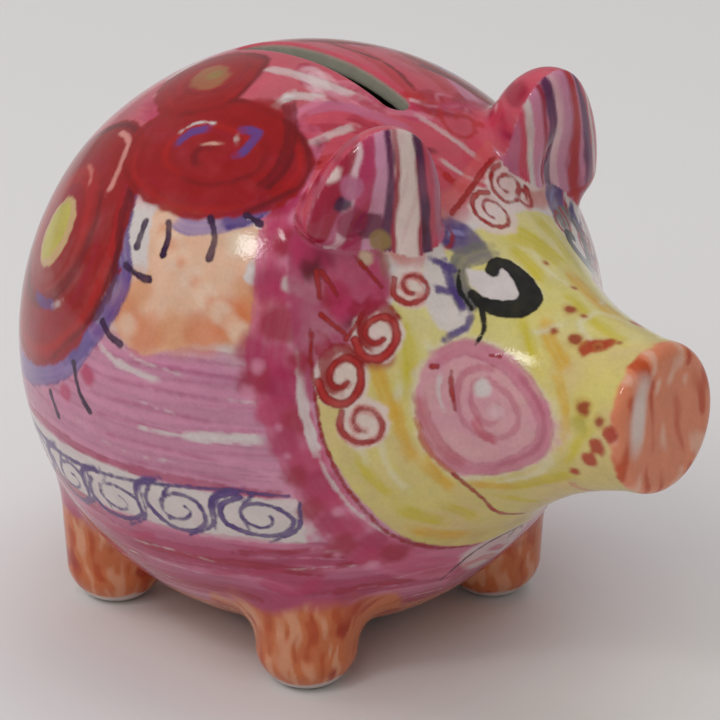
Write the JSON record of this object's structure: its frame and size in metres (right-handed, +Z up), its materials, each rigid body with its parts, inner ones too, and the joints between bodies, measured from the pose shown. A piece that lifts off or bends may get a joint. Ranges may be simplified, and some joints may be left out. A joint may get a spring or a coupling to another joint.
{
  "type": "piggy bank",
  "caption": "Round hand-painted ceramic pig bank with a coin slot in its crown, a trumpet snout, cupped ears, stub feet and a rubber belly stopper.",
  "frame": {"origin": "on the surface the feet stand on, under the middle of the pig's length", "axes": "+X is the way the pig looks, +Y its left side, +Z up"},
  "size_m": [0.1633, 0.12, 0.1203],
  "materials": {
    "body_glaze": "gloss glaze over brushed pink and magenta colour",
    "snout_glaze": "gloss glaze over yellow wash",
    "nose_glaze": "gloss glaze over streaky orange",
    "ear_glaze": "gloss glaze over pink stripes",
    "foot_glaze": "gloss glaze over orange wash, bare rim below",
    "tail_glaze": "gloss glaze over pink",
    "stopper_rubber": "soft matt rubber"
  },
  "bodies": {
    "pig": {"body_shell": "body_glaze", "snout": "snout_glaze", "nose_disc": "nose_glaze", "left_ear": "ear_glaze", "right_ear": "ear_glaze", "front_left_foot": "foot_glaze", "front_right_foot": "foot_glaze", "rear_left_foot": "foot_glaze", "rear_right_foot": "foot_glaze", "tail": "tail_glaze"},
    "stopper": {"belly_stopper": "stopper_rubber"}
  },
  "joints": [
    {"name": "stopper_pull", "type": "slide", "parent": "pig", "child": "stopper", "axis": [0, 0, -1], "range_m": [0, 0.022]}
  ]
}
